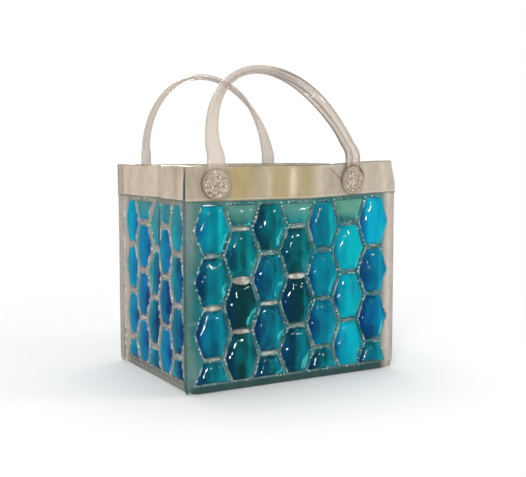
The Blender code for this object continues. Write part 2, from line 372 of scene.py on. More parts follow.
def blendShaders(share, first, second):
    mix = share.id_data.nodes.new("ShaderNodeMixShader")
    for socket, source in zip(mix.inputs, (share, first, second)):
        feed(socket, source)
    return mix.outputs[0]


def whiteShader(tree, kind, strength):
    shader = tree.nodes.new(kind)
    feed(shader.inputs["Color"], (1, 1, 1))
    feed(shader.inputs["Strength"], strength)
    return shader.outputs[0]


def addRipple(shader, pattern, height, strength=1.0):
    bump = shader.id_data.nodes.new("ShaderNodeBump")
    feed(bump.inputs["Strength"], strength)
    feed(bump.inputs["Distance"], height)
    feed(bump.inputs["Height"], pattern)
    feed(shader.inputs["Normal"], bump.outputs["Normal"])


# Camera, light and floor
camera = {"place": (-0.3951, -0.7112, 0.1927), "pitch": -5.46, "yaw": 29.62, "lens": 61.6}
light = {
    "world": 0.62, "mirrored": 0.05, "floorColour": (0.86, 0.86, 0.86), "floorFade": (0.16, 0.55),
    # name, place, height of its aim, size and power: these light the bag without showing in the film
    "lamps": (("keyLight", (-0.85, -1.1, 0.95), 0.09, (0.35, 0.6), 9.0),
              ("fillLight", (1.2, -0.7, 0.55), 0.10, (0.4, 0.6), 4.5),
              ("topLight", (0.1, 0.3, 1.3), 0.05, (1.0, 0.8), 7.0)),
    # and these only show in it
    "glints": (("glintLeft", (-0.78, -1.06, 0.15), 0.10, (0.16, 0.15), 2.8),
               ("glintFront", (-0.28, -1.33, 0.42), 0.10, (0.10, 0.14), 1.2),
               ("glintRight", (0.60, -1.20, 0.50), 0.10, (0.12, 0.2), 1.2),
               ("glintTop", (-0.2, 0.1, 1.3), 0.10, (0.5, 0.4), 2.4),
               ("glintBack", (0.5, 1.3, 0.55), 0.10, (0.22, 0.34), 8.0)),
    "bounces": {"max_bounces": 28, "transmission_bounces": 28, "transparent_max_bounces": 48,
                "glossy_bounces": 8, "diffuse_bounces": 5},
}


def makeCamera():
    bpy.ops.object.camera_add(location=camera["place"])
    eye = bpy.context.object
    eye.rotation_euler = (math.radians(90 + camera["pitch"]), 0, -math.radians(camera["yaw"]))
    eye.data.sensor_width = 36
    eye.data.lens = camera["lens"]
    eye.data.clip_start = 0.01
    scene.camera = eye


def makeLamp(name, place, aim, size, power, mirrored):
    bpy.ops.object.light_add(type="AREA", location=place)
    lamp = bpy.context.object
    lamp.name = name
    lamp.data.shape = "RECTANGLE"
    lamp.data.size, lamp.data.size_y = size
    lamp.data.energy = power
    lamp.rotation_euler = (Vector((0, 0, aim)) - Vector(place)).to_track_quat("-Z", "Y").to_euler()
    lamp.visible_diffuse = not mirrored
    lamp.visible_glossy = mirrored


def makeWorld():
    # White to look at, dim where it would be mirrored, so that only the lamps shine on the film
    world = bpy.data.worlds.new("paleRoom")
    scene.world = world
    world.use_nodes = True
    tree = world.node_tree
    tree.nodes.clear()
    path = tree.nodes.new("ShaderNodeLightPath").outputs
    seen = larger(path["Is Camera Ray"], path["Is Transmission Ray"])
    dimmed = add(times(path["Is Glossy Ray"], light["mirrored"] - light["world"]), light["world"])
    room = blendShaders(seen, whiteShader(tree, "ShaderNodeBackground", dimmed),
                        whiteShader(tree, "ShaderNodeBackground", 1.0))
    feed(tree.nodes.new("ShaderNodeOutputWorld").inputs["Surface"], room)


def makeFloor():
    bpy.ops.mesh.primitive_plane_add(size=60, location=(0, 0, -0.0005))
    floor = newest("floor")
    applyPlace(floor)
    paint, tree, shader = newFinish("paleFloor", 0.9)
    feed(shader.inputs["Base Color"], light["floorColour"])
    feed(shader.inputs["Specular IOR Level"], 0.0)
    # it runs out to white a little way off, for the eye only, and is dark where the film would mirror it
    away = tree.nodes.new("ShaderNodeVectorMath")
    away.operation = "LENGTH"
    feed(away.inputs[0], objectPlace(tree))
    path = tree.nodes.new("ShaderNodeLightPath").outputs
    seen = larger(path["Is Camera Ray"], path["Is Transmission Ray"])
    white = times(seen, spread(away.outputs["Value"], *light["floorFade"]))
    finish = blendShaders(white, shader.outputs[0], whiteShader(tree, "ShaderNodeEmission", 1.0))
    finish = blendShaders(path["Is Glossy Ray"], finish,
                          whiteShader(tree, "ShaderNodeEmission", light["mirrored"]))
    feed(tree.nodes["Material Output"].inputs["Surface"], finish)
    floor.data.materials.append(paint)


def makeStage():
    clearSelection()
    makeCamera()
    for lamp in light["lamps"]:
        makeLamp(*lamp, mirrored=False)
    for lamp in light["glints"]:
        makeLamp(*lamp, mirrored=True)
    makeWorld()
    makeFloor()
    scene.view_settings.view_transform = "Standard"
    for kind, count in light["bounces"].items():
        setattr(scene.cycles, kind, count)
    print("camera, light and floor are set")


# Finishes: the films first
filmFinish = {
    "margin": (0.65, 0.55, 0.48), "marginAlpha": 0.52,
    "seam": (0.13, 0.29, 0.25), "seamTeal": (0.02, 0.24, 0.26), "seamAlpha": 0.52,
    "pale": (0.84, 0.83, 0.77), "paleDark": (0.40, 0.38, 0.30), "paleAlpha": 0.80,
    # low: the dark strip and lines, and painted shade by the left gusset's near corner
    "low": (0.038, 0.056, 0.050), "lowAlpha": 0.88,
    # foot: a painted highlight, the whitish line at the foot of a pocket
    "foot": (0.80, 0.83, 0.78), "footAlpha": 0.62,
    "domeAlpha": 0.006,                            # over the gel
    "linerAlpha": (0.06, 0.16),
    # the crimps: near white, which paints their highlight, and some dark
    "bead": (0.95, 0.95, 0.93), "darkBead": (0.10, 0.14, 0.16), "beadAlpha": 0.95,
}


def makeFilm(name):
    # Nearly clear over the gel, hazy where two films are welded together, with a painted whitish highlight
    # line at the foot of a pocket
    material, tree, shader = newFinish(name, 0.08)
    land, seam, pale = splitVector(readMark(tree, "land", "Vector"))
    streaks = spread(objectPattern(tree, 0.008, 1.0, (1, 1, 0.12)), 0.32, 0.60)
    colour = blendColours(seam, filmFinish["margin"],
                          blendColours(streaks, filmFinish["seam"], filmFinish["seamTeal"]))
    haze = spread(objectPattern(tree, 0.018, 3.0), 0.25, 0.75, 0.8, 1.2)
    alpha = times(spread(seam, 0.0, 1.0, filmFinish["marginAlpha"], filmFinish["seamAlpha"]), haze)
    patches = spread(objectPattern(tree, 0.007, 1.0), 0.38, 0.58)
    # the painted highlight line at a pocket's foot, broken up by a pattern
    foot = times(readMark(tree, "foot"), spread(objectPattern(tree, 0.0055), 0.42, 0.58, 0.05, 1.0))
    layers = {"pale": (pale, blendColours(patches, filmFinish["paleDark"], filmFinish["pale"])),
              "low": (readMark(tree, "low"), filmFinish["low"]), "foot": (foot, filmFinish["foot"])}
    for layer, (share, tint) in layers.items():
        colour = blendColours(share, colour, tint)
        alpha = blendNumbers(share, alpha, filmFinish[layer + "Alpha"])
    shown = larger(larger(land, foot), spread(pale, 0.45, 0.75))
    feed(shader.inputs["Base Color"], colour)
    feed(shader.inputs["Alpha"], blendNumbers(shown, filmFinish["domeAlpha"], alpha))
    addRipple(shader, objectPattern(tree, 0.006), 0.0006, 0.5)
    return material


def makeLinerFilm(name):
    # The plain inner film and the base
    material, tree, shader = newFinish(name, 0.10)
    haze = spread(objectPattern(tree, 0.018, 3.0), 0.25, 0.75, *filmFinish["linerAlpha"])
    feed(shader.inputs["Base Color"], filmFinish["seam"])
    feed(shader.inputs["Alpha"], haze)
    return material


def makeBeadFilm(name):
    # The small crimps along the welds: real bumps, coloured near white as a painted highlight, some dark
    material, tree, shader = newFinish(name, 0.05)
    share = spread(objectPattern(tree, 0.0025, 0.0), 0.40, 0.60)
    feed(shader.inputs["Base Color"], blendColours(share, filmFinish["darkBead"], filmFinish["bead"]))
    feed(shader.inputs["Alpha"], filmFinish["beadAlpha"])
    return material


gelFinish = {
    # deep tones stand for thick gel and for painted shade, bright ones for painted light through the gel
    "teal": (0.0, 0.360, 0.400), "tealDeep": (0.0, 0.065, 0.070), "tealBright": (0.0, 0.780, 0.840),
    "blue": (0.0, 0.360, 0.740), "blueDeep": (0.0, 0.055, 0.290), "blueBright": (0.0, 0.670, 1.0),
    # thin: the gel of a thin cell; glow and streak: painted light gathered in a cell
    "thin": (0.24, 0.60, 0.46), "glow": (0.00, 0.80, 0.88), "streak": (0.12, 0.98, 0.96),
    "gloss": {"Transmission Weight": 0.50, "IOR": 1.35, "Coat Weight": 1.0, "Coat Roughness": 0.03,
              "Coat IOR": 1.7},
}
gelShades = {
    # across or up a cell, or over a pattern: from where to where, and how much at each
    "panelBlue": (-0.9, -0.1, 0.32, -0.06), "gussetBlue": (-0.7, 0.7, 0.25, -0.35),
    # sideShade, gussetSideShade, endsShade and rim: painted shade; streaksLightAndShade: painted light and
    # shade bands
    "sideShade": (-0.95, -0.20, 0.35, 0.0), "gussetSideShade": (-0.7, 0.5, 0.65, -0.40),
    "swirlDeep": (0.3, 0.7, -0.20, 0.20), "streaksLightAndShade": (0.35, 0.65, -0.18, 0.18),
    "middleLight": (0.0, 0.22, -0.35, 0.0), "endsShade": (0.70, 1.0, 0.0, 0.30),
    "bright": (-0.85, 0.10, 1.0, 0.0), "rim": (-0.95, -0.45, 0.9, 0.0), "rimOnBlue": (0.25, 0.70, 0.0, 1.0),
    "glowAcross": (0.10, 0.70, 0.0, 0.55), "glowUp": (0.35, -0.6, 0.0, 1.0),
    "streakBend": (0.35, 0.65, -0.16, 0.16), "streakWidth": (0.03, 0.10, 1.0, 0.0),
    "streakTop": (0.80, 0.55, 0.0, 1.0), "streakFoot": (0.0, 0.15, 0.0, 1.0),
    "streakGaps": (0.42, 0.52, 0.1, 1.0), "thinUp": (-0.9, 0.5, 0.10, 1.0),
}


def makeGel(name):
    # cellTone: how blue, how deep and how thin a cell's gel is
    # cellPlace: -1..1 across it and up it, and 1 on a gusset
    material, tree, shader = newFinish(name, 0.04)
    blueness, depth, thinness = splitVector(readMark(tree, "cellTone", "Vector"))
    across, upwards, onGusset = splitVector(readMark(tree, "cellPlace", "Vector"))
    swirl = objectPattern(tree, 0.011, 2.0, (1, 1, 0.6))
    streaks = objectPattern(tree, 0.0080, 0.5, (1, 1, 0.14))

    def shade(source, kind):
        return spread(source, *gelShades[kind])

    blueness = add(blueness, times(onGusset, shade(across, "gussetBlue")))
    blueness = add(blueness, times(combine("SUBTRACT", 1.0, onGusset), shade(across, "panelBlue")))
    # painted shade at the shaded side and next to the welds, with a painted brighter upright streak right of
    # the middle
    for change in (shade(across, "sideShade"), times(onGusset, shade(across, "gussetSideShade")),
                   shade(swirl, "swirlDeep"), shade(streaks, "streaksLightAndShade"),
                   shade(unsigned(add(across, -0.30)), "middleLight"), shade(unsigned(upwards), "endsShade")):
        depth = add(depth, change)
    shallow, deep, bright = (blendColours(blueness, gelFinish["teal" + kind], gelFinish["blue" + kind])
                             for kind in ("", "Deep", "Bright"))
    colour = blendColours(spread(depth, 0.0, 1.0), shallow, deep)
    # painted light: the bright tone where the gel is least deep
    colour = blendColours(shade(depth, "bright"), colour, bright)
    # painted shade: a deep blue rim along the shaded side of the bluer cells
    rim = times(shade(across, "rim"), shade(blueness, "rimOnBlue"))
    colour = blendColours(rim, colour, gelFinish["blueDeep"])
    # painted light gathered at the lower right of a cell, in a soft patch and a curved streak
    glow = times(shade(across, "glowAcross"), shade(upwards, "glowUp"))
    colour = blendColours(glow, colour, gelFinish["glow"])
    climb = add(upwards, 0.80)
    bend = add(add(times(times(climb, climb), 0.75), 0.30), shade(swirl, "streakBend"))
    streak = shade(unsigned(add(across, times(bend, -1))), "streakWidth")
    for fade in (shade(climb, "streakTop"), shade(climb, "streakFoot"),
                 shade(objectPattern(tree, 0.013, 0.0), "streakGaps")):
        streak = times(streak, fade)
    colour = blendColours(streak, colour, gelFinish["streak"])
    colour = blendColours(times(thinness, shade(upwards, "thinUp")), colour, gelFinish["thin"])
    feed(shader.inputs["Base Color"], colour)
    for socket, value in gelFinish["gloss"].items():
        feed(shader.inputs[socket], value)
    return material


hemFinish = {
    "warm": (0.585, 0.450, 0.235), "cream": (0.93, 0.79, 0.56), "shade": (0.30, 0.26, 0.17),
    # panel and gusset: the same milky film, the gussets' a lighter copy as painted light
    "panel": (0.60, 0.52, 0.43), "gusset": (0.86, 0.72, 0.60),
    "line": (0.24, 0.21, 0.15), "pale": (0.90, 0.88, 0.80), "alpha": (0.68, 0.84),
    # painted shade along a slanting crease down to the right hand front disc: its x at a level near the rim,
    # slope, width, ends
    "creaseAt": (0.0325, rimHeight - 0.0029), "creaseSlope": 1.066,
    "creaseWidth": (0.0003, 0.0020, 0.55, 0.0),
    "creaseEnds": ((0, 0.030, 0.034), (0, 0.052, 0.048), (1, 0.01, 0.0)),
}


def makeMilky(name, plain, creaseShaded=False):
    # Milky film: painted cream bands where light comes through it, painted shade, a fine double line along
    # its weld
    material, tree, shader = newFinish(name, 0.22)
    clouds = objectPattern(tree, 0.030, 1.0, (1, 1, 0.4))
    warmth = add(readMark(tree, "warmth"), spread(clouds, 0.35, 0.60, 0.15, -0.15))
    colour = blendColours(warmth, plain, hemFinish["warm"])
    colour = blendColours(readMark(tree, "band"), colour, hemFinish["cream"])
    mottle = spread(objectPattern(tree, 0.0045, 3.0, (1, 1, 0.45)), 0.40, 0.66, 0.0, 0.16)
    # painted shade at the marked places, with a random mottle
    shade = add(readMark(tree, "shade"), mottle)
    # a line of painted shade along the slanting crease
    if creaseShaded:
        place = splitVector(objectPlace(tree))
        start = hemFinish["creaseAt"][0] + hemFinish["creaseAt"][1] * hemFinish["creaseSlope"]
        off = add(add(place[0], times(place[2], hemFinish["creaseSlope"])), -start)
        fold = spread(unsigned(off), *hemFinish["creaseWidth"])
        for axis, low, high in hemFinish["creaseEnds"]:
            fold = times(fold, spread(place[axis], low, high))
        shade = add(shade, fold)
    colour = blendColours(shade, colour, hemFinish["shade"])
    rise = readMark(tree, "rise")
    top = (rimHeight - hemLow) * 1000                # in millimetres, as the mark is
    colour = blendColours(spread(rise, 2.6, 1.6, 0.0, 0.35), colour, hemFinish["pale"])
    for start, end in ((1.3, 0.8), (top - 0.8, top - 0.4)):
        colour = blendColours(spread(rise, start, end, 0.0, 0.85), colour, hemFinish["line"])
    feed(shader.inputs["Base Color"], colour)
    feed(shader.inputs["Alpha"], spread(clouds, 0.3, 0.7, *hemFinish["alpha"]))
    addRipple(shader, objectPattern(tree, 0.009, 1.0, (1, 1, 0.4)), 0.0005, 0.3)
    return material


# line: the painted shade lines on the strap
strapFinish = {"face": (0.69, 0.57, 0.475), "edge": (0.56, 0.46, 0.385), "line": (0.22, 0.17, 0.13),
               "faceAlpha": 0.52, "edgeAlpha": 0.66, "lineAlpha": 0.80}


def makeStrapPlastic(name):
    # The thick edges of the strap gather the tint, its middle is clear; painted shade lines along its edges
    # and where it is creased
    material, tree, shader = newFinish(name, 0.06)
    edge, line = readMark(tree, "edge"), readMark(tree, "line")
    colour = blendColours(edge, strapFinish["face"], strapFinish["edge"])
    alpha = spread(edge, 0.0, 1.0, strapFinish["faceAlpha"], strapFinish["edgeAlpha"])
    feed(shader.inputs["Base Color"], blendColours(line, colour, strapFinish["line"]))
    feed(shader.inputs["Alpha"], blendNumbers(line, alpha, strapFinish["lineAlpha"]))
    return material


discFinish = {"pad": (0.50, 0.42, 0.32), "rim": (0.26, 0.21, 0.17), "pale": (0.78, 0.67, 0.55),
              "dark": (0.20, 0.14, 0.09), "padAlpha": 0.80}


def makeDiscPlastic(name):
    # edge is 1 at the pad's outline; grain is 0 on the pad, or how pale a grain is
    material, tree, shader = newFinish(name, 0.10)
    edge, grain = readMark(tree, "edge"), readMark(tree, "grain")
    colour = blendColours(edge, discFinish["pad"], discFinish["rim"])
    tone = blendColours(grain, discFinish["dark"], discFinish["pale"])
    isGrain = spread(grain, 0.0, 0.05)
    feed(shader.inputs["Base Color"], blendColours(isGrain, colour, tone))
    feed(shader.inputs["Alpha"], blendNumbers(isGrain, discFinish["padAlpha"], 1.0))
    return material


# Walls: a honeycomb sheet, its cells inset and raised into pockets
cell = {
    "edgeStrip": 0.0060, "seamStrip": 0.0055, "hemStrip": 0.0013, "halfRows": 7, "rows": 4,
    "flatShare": 0.350,       # half of a cell's flat top, of the column pitch
    "cornerHold": 0.0024,     # from a corner to the cuts that keep it crisp
    "filmLift": 0.0008,       # outer skin of the flat film
    "film": 0.00045,
    "steps": ((0.0006, 0.0017), (0.0018, 0.0024), (0.0034, 0.0016)),   # inwards and up, from the weld
    "crown": (0.0040, 0.0006),                                         # whole cells only
    "gelGap": 0.00012, "gelFoot": 0.0001, "gelFloor": -0.0006, "gelSide": 0.0003,
    "bead": 0.00062, "beadStep": 0.0036, "beadOut": 0.0001, "beadGaps": 0.35,
}
halfRow = (hemLow - cell["hemStrip"] - cell["seamStrip"]) / cell["halfRows"]
lowLine, highLine = cell["seamStrip"], hemLow - cell["hemStrip"]
hair = 0.0001                 # for picking what lies on a line


def columnPitch(wall):
    form = walls[wall]
    return 2 * (form["half"] - cell["edgeStrip"]) / (form["columns"] + 1 - 2 * cell["flatShare"])


def cellsOf(wall):
    # Each cell's column, row, middle across and up, half height, and the middle of its whole hexagon
    columns = walls[wall]["columns"]
    cells = []
    for column in range(columns):
        across = (column - (columns - 1) / 2) * columnPitch(wall)
        start = lowLine - halfRow if column % 2 == 0 else lowLine
        for row in range(cell["rows"]):
            low = max(start + 2 * halfRow * row, lowLine)
            high = min(start + 2 * halfRow * (row + 1), highLine)
            cells.append((column, row, across, (low + high) / 2, (high - low) / 2,
                          start + 2 * halfRow * (row + 0.5)))
    return np.array(cells)


def cellAt(wall, points):
    # The cell of each point of the flat wall
    cells = cellsOf(wall)
    across = (points[:, None, 0] - cells[None, :, 2]) / columnPitch(wall)
    upwards = (points[:, None, 1] - cells[None, :, 5]) / (2 * halfRow)
    return cells[np.argmin(across ** 2 + upwards ** 2, axis=1)]


def honeycomb(wall):
    pitch, form = columnPitch(wall), walls[wall]
    flat, point = pitch * cell["flatShare"], pitch * (1 - cell["flatShare"])
    clearSelection()
    bpy.ops.mesh.primitive_circle_add(vertices=6, radius=1, fill_type="NGON")
    sheet = newest(wall + "_pocket_film")
    points = readPoints(sheet.data)
    points = points[:, [1, 0, 2]] * (1, -1, 1)       # a point to each side, flat above and below
    points[:, 0] = np.sign(points[:, 0]) * np.where(np.abs(points[:, 1]) > 0.1, flat, point)
    points[:, 1] *= halfRow / math.sin(math.radians(60))
    writePoints(sheet.data, points)
    first = -(form["columns"] - 1) / 2 * pitch
    odd = duplicate(sheet, "odd")
    sheet.location = (first, lowLine, cell["filmLift"])
    odd.location = (first + pitch, lowLine + halfRow, cell["filmLift"])
    for piece, count in ((sheet, (form["columns"] + 1) // 2), (odd, form["columns"] // 2)):
        for copies, offset in ((count, (2 * pitch, 0, 0)), (cell["rows"], (0, 2 * halfRow, 0))):
            row = piece.modifiers.new("Row", "ARRAY")
            row.count = copies
            row.use_relative_offset = False
            row.use_constant_offset = True
            row.constant_offset_displace = offset
            row.use_merge_vertices = False
        applyModifiers(piece)
        applyPlace(piece)
    makeActive(sheet, odd)
    bpy.ops.object.join()
    startEditing(sheet)
    bpy.ops.mesh.remove_doubles(threshold=0.0002)
    for line, away in ((lowLine, -1), (highLine, 1)):
        bpy.ops.mesh.select_all(action="SELECT")
        bpy.ops.mesh.bisect(plane_co=(0, line, 0), plane_no=(0, away, 0), clear_outer=True)
    bpy.ops.mesh.select_all(action="SELECT")
    bpy.ops.mesh.remove_doubles(threshold=0.0002)
    stopEditing()
    return sheet


def addMargins(sheet, wall):
    # Plain film round the honeycomb, out to the panel's edges
    form = walls[wall]
    bm = bmesh.new()
    bm.from_mesh(sheet.data)
    bmesh.ops.subdivide_edges(bm, edges=bm.edges[:], cuts=2, use_grid_fill=False)
    fresh = extrudeEdges(bm, [edge for edge in bm.edges if edge.is_boundary])
    for line, target in ((lowLine, 0), (highLine, filmTop)):
        onLine = [vert for vert in fresh if abs(vert.co.y - line) < hair]
        ends = (min(vert.co.x for vert in onLine), max(vert.co.x for vert in onLine))
        for vert in onLine:
            vert.co.y = target
            if vert.co.x < ends[0] + hair or vert.co.x > ends[1] - hair:
                vert.co.x = math.copysign(form["half"], vert.co.x)
    for vert in fresh:
        if hair < vert.co.y < filmTop - hair:
            vert.co.x = math.copysign(form["half"], vert.co.x)
    if form["flange"]:
        turned = extrudeEdges(bm, [edge for edge in bm.edges if edge.is_boundary
                                   and all(abs(abs(vert.co.x) - form["half"]) < hair for vert in edge.verts)])
        bmesh.ops.translate(bm, verts=turned, vec=(0, 0, form["flange"]))
    bmesh.ops.recalc_face_normals(bm, faces=bm.faces[:])
    if sum(face.normal.z for face in bm.faces) < 0:
        bmesh.ops.reverse_faces(bm, faces=bm.faces[:])
    bm.to_mesh(sheet.data)
    bm.free()


def insetCells(sheet, inwards, upwards):
    # Insets each picked cell, then draws the two cuts of every side close to its corners
    bpy.ops.mesh.inset(thickness=inwards, depth=upwards, use_even_offset=True, use_individual=True)
    bm = bmesh.from_edit_mesh(sheet.data)
    corner = bm.faces.layers.int["corner"]
    for face in [face for face in bm.faces if face.select]:
        ring = [vert.co.copy() for vert in face.verts]
        count = len(ring)
        for i in range(face[corner], count, 3):
            for step in (-1, 1):
                side = ring[(i + 3 * step) % count] - ring[i]
                hold = min(cell["cornerHold"], side.length / 3)
                face.verts[(i + step) % count].co = ring[i] + side.normalized() * hold
    bmesh.update_edit_mesh(sheet.data)


def raisePockets(sheet, wall):
    # Raises the cells, marks their faces with column and row, and returns their outlines
    bulge = walls[wall]["bulge"]
    startEditing(sheet)
    bm = bmesh.from_edit_mesh(sheet.data)
    corner = bm.faces.layers.int.new("corner")
    for face in pickFaces(sheet, lambda face: len(face.verts) > 8):
        loops = face.loops[:]
        face[corner] = next(i for i in range(3) if loops[i].calc_angle() < math.pi - 0.2)
    insetCells(sheet, walls[wall]["weld"], 0)
    bm = bmesh.from_edit_mesh(sheet.data)
    mark = bm.faces.layers.int.new("pocket")
    outlines = []
    for face in bm.faces:
        if face.select:
            outlines.append(np.array([vert.co[:2] for vert in face.verts]))
            column, row = cellAt(wall, np.array([face.calc_center_median()]))[0, :2]
            face[mark] = 1 + int(column) * cell["rows"] + int(row)
    bmesh.update_edit_mesh(sheet.data)
    for inwards, upwards in cell["steps"]:
        insetCells(sheet, inwards, upwards * bulge)
    pickFaces(sheet, lambda face: len(face.verts) > 16)
    insetCells(sheet, cell["crown"][0], cell["crown"][1] * bulge)
    bpy.ops.object.mode_set(mode="OBJECT")
    return outlines


def smoothOutline(outline, rounds=2):
    # Cuts the corners of a closed outline, as the subdivided film does
    for _ in range(rounds):
        following = np.roll(outline, -1, axis=0)
        cut = np.stack((0.75 * outline + 0.25 * following, 0.25 * outline + 0.75 * following), axis=1)
        outline = cut.reshape(-1, outline.shape[1])
    return outline


def scatter(name, blank, places):
    # One piece made of a copy of the blank at each place, and the blank removed
    points = readPoints(blank.data)
    faces = [tuple(face.vertices) for face in blank.data.polygons]
    homogeneous = np.c_[points, np.ones(len(points))]
    allPoints = np.concatenate([homogeneous @ np.array(place)[:3].T for place in places])
    allFaces = [tuple(vertex + i * len(points) for vertex in face)
                for i in range(len(places)) for face in faces]
    mesh = bpy.data.meshes.new(name)
    mesh.from_pydata(allPoints.tolist(), [], allFaces)
    piece = bpy.data.objects.new(name, mesh)
    bpy.context.collection.objects.link(piece)
    bpy.data.objects.remove(blank)
    return piece


def makeWeldBeads(outlines, wall, material):
    clearSelection()
    bpy.ops.mesh.primitive_uv_sphere_add(segments=8, ring_count=4, radius=cell["bead"])
    blank = newest("beadBlank")
    rng = np.random.default_rng(walls[wall]["columns"] + len(wall))
    places = []
    for outline in outlines:
        outline = smoothOutline(outline)
        middle = outline.mean(axis=0)
        ends = np.roll(outline, -1, axis=0)
        lengths = np.linalg.norm(ends - outline, axis=1)
        runs = np.concatenate(([0], np.cumsum(lengths)))
        count = int(runs[-1] / cell["beadStep"])
        for at in (np.arange(count) + rng.uniform(0, 1)) / count * runs[-1] % runs[-1]:
            i = min(int(np.searchsorted(runs, at, side="right")) - 1, len(outline) - 1)
            point = outline[i] + (ends[i] - outline[i]) * (at - runs[i]) / lengths[i]
            away = (point - middle) / np.linalg.norm(point - middle)
            # the crimps' near white paints a highlight, so most are kept on the left, the lit side
            if rng.uniform() < cell["beadGaps"] + (0.40 if away[0] > -0.3 else 0):      # most on the left
                continue
            point = point + away * cell["beadOut"] * rng.uniform(0.2, 1.6)
            turn = math.atan2(ends[i][1] - outline[i][1], ends[i][0] - outline[i][0])
            size = rng.uniform(0.6, 1.25)
            places.append(Matrix.Translation((point[0], point[1], cell["filmLift"]))
                          @ Matrix.Rotation(turn + rng.uniform(-0.5, 0.5), 4, "Z")
                          @ Matrix.Diagonal((size * rng.uniform(1.0, 1.7), size * 0.8, size * 0.75, 1)))
    beads = scatter(wall + "_weld_crimps", blank, places)
    standUp(beads, wall)
    finishPiece(beads, material, "clear_film")
    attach(beads, "bag")


tones = {
    # each column from the left, its cells from the bottom: how blue, how deep and how thin the gel is
    "front": (((0.20, 0.44, 0), (0.40, 0.40, 0), (0.20, 0.40, 0), (0.25, -0.15, 0)),
              ((0.06, 0.75, 0), (0.04, 1.15, 0), (0.02, 0.44, 0), (0.00, 0.75, 0.75)),
              ((0.20, 0.64, 0), (0.33, 0.52, 0), (0.30, 0.40, 0), (0.05, 0.50, 0)),
              ((0.22, 0.60, 0), (0.15, 0.98, 0), (0.00, 0.48, 0), (0.00, 0.10, 0.7)),
              ((0.15, 0.60, 0), (0.42, 0.20, 0), (0.33, 0.00, 0), (0.25, 0.04, 0)),
              ((0.45, -0.55, 0), (0.32, -0.50, 0), (0.18, -0.72, 0), (0.00, 0.20, 1.4)),
              ((0.25, 0.24, 0), (0.75, 0.38, 0), (0.55, 0.12, 0), (0.68, -0.66, 0))),
    "left": (((0.70, -0.50, 0), (0.90, -0.50, 0), (0.85, -0.82, 0), (0.65, -0.95, 0)),
             ((1.00, -0.52, 0), (1.00, -0.32, 0), (0.85, -0.40, 0), (0.50, -0.40, 0.5)),
             ((0.60, -0.10, 0), (0.50, 0.10, 0), (0.50, 0.00, 0), (0.40, -0.20, 0.3)),
             ((1.00, -0.27, 0), (0.90, 0.14, 0), (0.80, -0.50, 0), (0.40, -0.60, 0.4)),
             ((0.60, 0.20, 0), (0.55, 0.10, 0), (0.50, -0.05, 0), (0.35, -0.70, 0.2))),
}
lenses = {
    # how far the pale film between two cells of a column reaches over their ends, from the bottom
    "front": ((0.06, 0.10, 0.03), (0.09, 0.16, 0.07), (0.06, 0.06, 0.03), (0.04, 0.11, 0.04),
              (0.02, 0.02, 0.02), (0.02, 0.02, 0.02), (0.02, 0.02, 0.02)),
    "left": ((0.03, 0.03, 0.02), (0.05, 0.03, 0.03), (0.03, 0.05, 0.03), (0.04, 0.04, 0.03),
             (0.06, 0.05, 0.03)),
}
for table in (tones, lenses):
    table["back"] = table["front"][::-1]
    table["right"] = table["left"][::-1]


def markGel(mesh, wall):
    points = readPoints(mesh)
    column, row, middle, middleUp, tall = cellAt(wall, points)[:, :5].T
    half = columnPitch(wall) * (1 - cell["flatShare"])
    facing = 1 if wall in wideWalls else -1          # the shaded side of a gusset's cells is the right one
    place = np.stack((facing * (points[:, 0] - middle) / half, (points[:, 1] - middleUp) / tall,
                      np.full(len(points), float(facing < 0))), axis=1)
    writeAttribute(mesh, "cellTone", np.array(tones[wall])[column.astype(int), row.astype(int)])
    writeAttribute(mesh, "cellPlace", place)


def makeGelColumns(sheet, wall, material):
    # The gel takes the inner shape of its pockets
    for column in range(walls[wall]["columns"]):
        number = str(column + 1)
        gel = duplicate(sheet, wall + "_gel_" + number)
        bm = bmesh.new()
        bm.from_mesh(gel.data)
        mark = bm.faces.layers.int["pocket"]
        keep = range(1 + column * cell["rows"], 1 + (column + 1) * cell["rows"])
        bmesh.ops.delete(bm, geom=[face for face in bm.faces if face[mark] not in keep], context="FACES")
        rim = [edge for edge in bm.edges if edge.is_boundary]
        for vert in bm.verts:
            vert.co = vert.co - vert.normal * (cell["film"] + cell["gelGap"])
        for vert in {vert for edge in rim for vert in edge.verts}:
            middle = cellAt(wall, np.array([vert.co]))[0]
            inwards = Vector((middle[2] - vert.co.x, middle[3] - vert.co.y, 0)).normalized()
            vert.co += inwards * cell["gelSide"]
            vert.co.z = cell["gelFoot"]
        for vert in extrudeEdges(bm, rim):
            vert.co.z = cell["gelFloor"]
        bmesh.ops.holes_fill(bm, edges=[edge for edge in bm.edges if edge.is_boundary], sides=0)
        bmesh.ops.recalc_face_normals(bm, faces=bm.faces[:])
        bm.to_mesh(gel.data)
        bm.free()
        subdivide(gel, 2)
        markGel(gel.data, wall)
        standUp(gel, wall)
        finishPiece(gel, material, "teal_gel" if wall in wideWalls else "blue_gel",
                    wall + "_gel_column_" + number)
        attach(gel, "bag")


weldMarks = {
    # how far a tint or a line goes, in from the cells' edge or up the wall, and how strong it is
    "flange": 0.0004, "haze": 0.0010, "seamEnd": (-0.009, -0.002),
    "gussetSeam": 0.30, "gussetNear": (-0.010, -0.001), "nearPale": 0.35, "nearStart": (-0.003, 0.001),
    "nearRise": (0.06, 0.14), "plainEdge": (-0.0022, -0.0010), "nearPlain": 0.15,
    "lensFlat": 0.75, "lensEdge": (-0.015, 0.025), "lensSides": (0.70, 0.95), "lensClear": 0.004,
    # foot: how strong the painted highlight line at a pocket's foot is
    "foot": 0.9, "footLevel": 0.0007, "footWidth": (0.0002, 0.0006), "footUnderHem": 0.85,
    "stripTop": (0.0045, 0.0065), "panelStrip": 0.80, "gussetStrip": 0.12, "stripFades": 0.75,
    "lines": ((0.0052, 0.0007), (0.0004, 0.0008)),
    "sideLines": ((0.0042, 0.0005, 0.20), (0.0, 0.0006, 0.45)),        # from the edge, width, strength
    # cornerShade: painted shade on the left gusset next to the near corner
    "cornerShade": 0.40, "cornerStart": (-0.0005, 0.0020),
}


